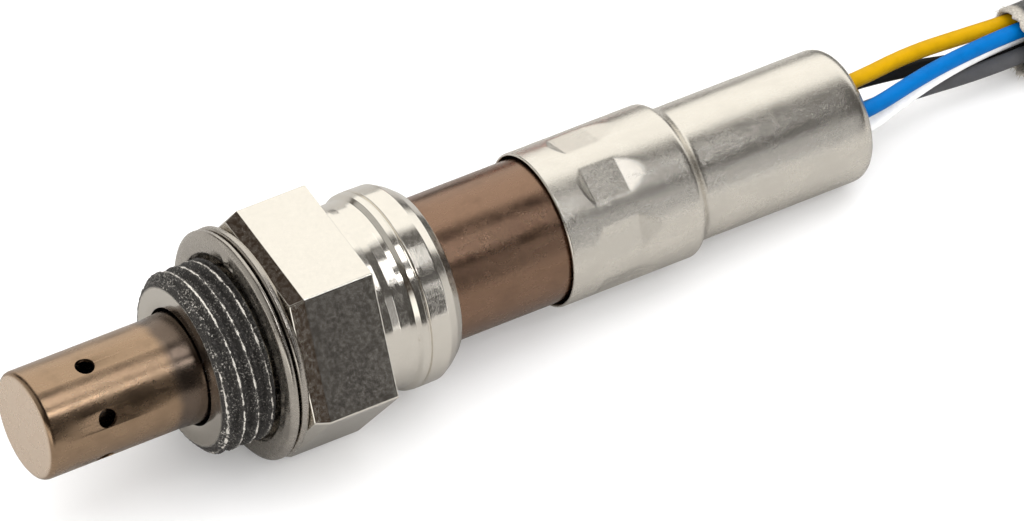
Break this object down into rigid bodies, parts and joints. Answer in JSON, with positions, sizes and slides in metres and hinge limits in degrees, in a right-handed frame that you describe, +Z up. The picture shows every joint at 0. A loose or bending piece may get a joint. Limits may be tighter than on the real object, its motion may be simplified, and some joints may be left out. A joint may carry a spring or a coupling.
{
  "type": "oxygen sensor",
  "caption": "Screw-in exhaust gas sensor: perforated tip, threaded shell with hexagon and crush gasket, crimped cover, coloured wires in a sleeve, and a coiled lead with a sealed plug.",
  "frame": {"origin": "on the floor, under the middle of the sensor without its lead", "axes": "+X along the sensor from the gas tip to the wires, seen from above; +Z up from the floor"},
  "size_m": [0.1834, 0.0872, 0.0232],
  "materials": {
    "protector_steel": "heat-tinted tan drawn steel",
    "inner_steel": "plain drawn steel",
    "shell_nickel": "turned steel with nickel plate",
    "gasket_steel": "bright rolled steel",
    "ceramic_white": "unglazed white ceramic",
    "element_grey": "fine-grained ceramic strip",
    "talc": "pressed powder",
    "tube_brown": "heat-tinted brown steel, satin",
    "cover_nickel": "nickel-coloured steel with fine drawing grain",
    "grommet_rubber": "dark heat-proof elastomer",
    "vent_white": "porous white filter",
    "contact_metal": "stamped spring alloy",
    "insulation_yellow": "yellow insulation, slightly glossy",
    "insulation_blue": "blue insulation, slightly glossy",
    "insulation_white": "white insulation, slightly glossy",
    "insulation_grey": "grey insulation, slightly glossy",
    "insulation_black": "black insulation, slightly glossy",
    "sheath_sleeve": "dark coated sleeve",
    "tie_tape": "black tape",
    "plug_plastic": "dark moulded plastic",
    "boot_rubber": "black rubber",
    "seal_silicone": "orange-red silicone",
    "lock_plastic": "light moulded plastic",
    "terminal_tin": "tinned copper alloy"
  },
  "bodies": {
    "root": {"outer_protector": "protector_steel", "inner_protector": "inner_steel", "metal_shell": "shell_nickel", "crush_gasket": "gasket_steel", "sensing_element": "element_grey", "element_cup": "inner_steel", "lower_insulator": "ceramic_white", "lower_powder": "talc", "middle_insulator": "ceramic_white", "upper_powder": "talc", "ceramic_sleeve": "ceramic_white", "packing_ring": "inner_steel", "inner_tube": "tube_brown", "outer_cover": "cover_nickel", "front_holder": "ceramic_white", "rear_holder": "ceramic_white", "tolerance_ring": "inner_steel", "contact_yellow": "contact_metal", "contact_blue": "contact_metal", "contact_white": "contact_metal", "contact_grey": "contact_metal", "contact_black": "contact_metal", "grommet": "grommet_rubber", "vent_filter": "vent_white", "wire_yellow": "insulation_yellow", "wire_blue": "insulation_blue", "wire_white": "insulation_white", "wire_grey": "insulation_grey", "wire_black": "insulation_black", "sheath": "sheath_sleeve", "sheath_coil": "sheath_sleeve", "sheath_tail": "sheath_sleeve", "coil_tie": "tie_tape", "connector_boot": "boot_rubber", "connector_housing": "plug_plastic", "connector_seal": "seal_silicone", "connector_lock": "lock_plastic", "connector_contacts": "terminal_tin"}
  },
  "joints": []
}
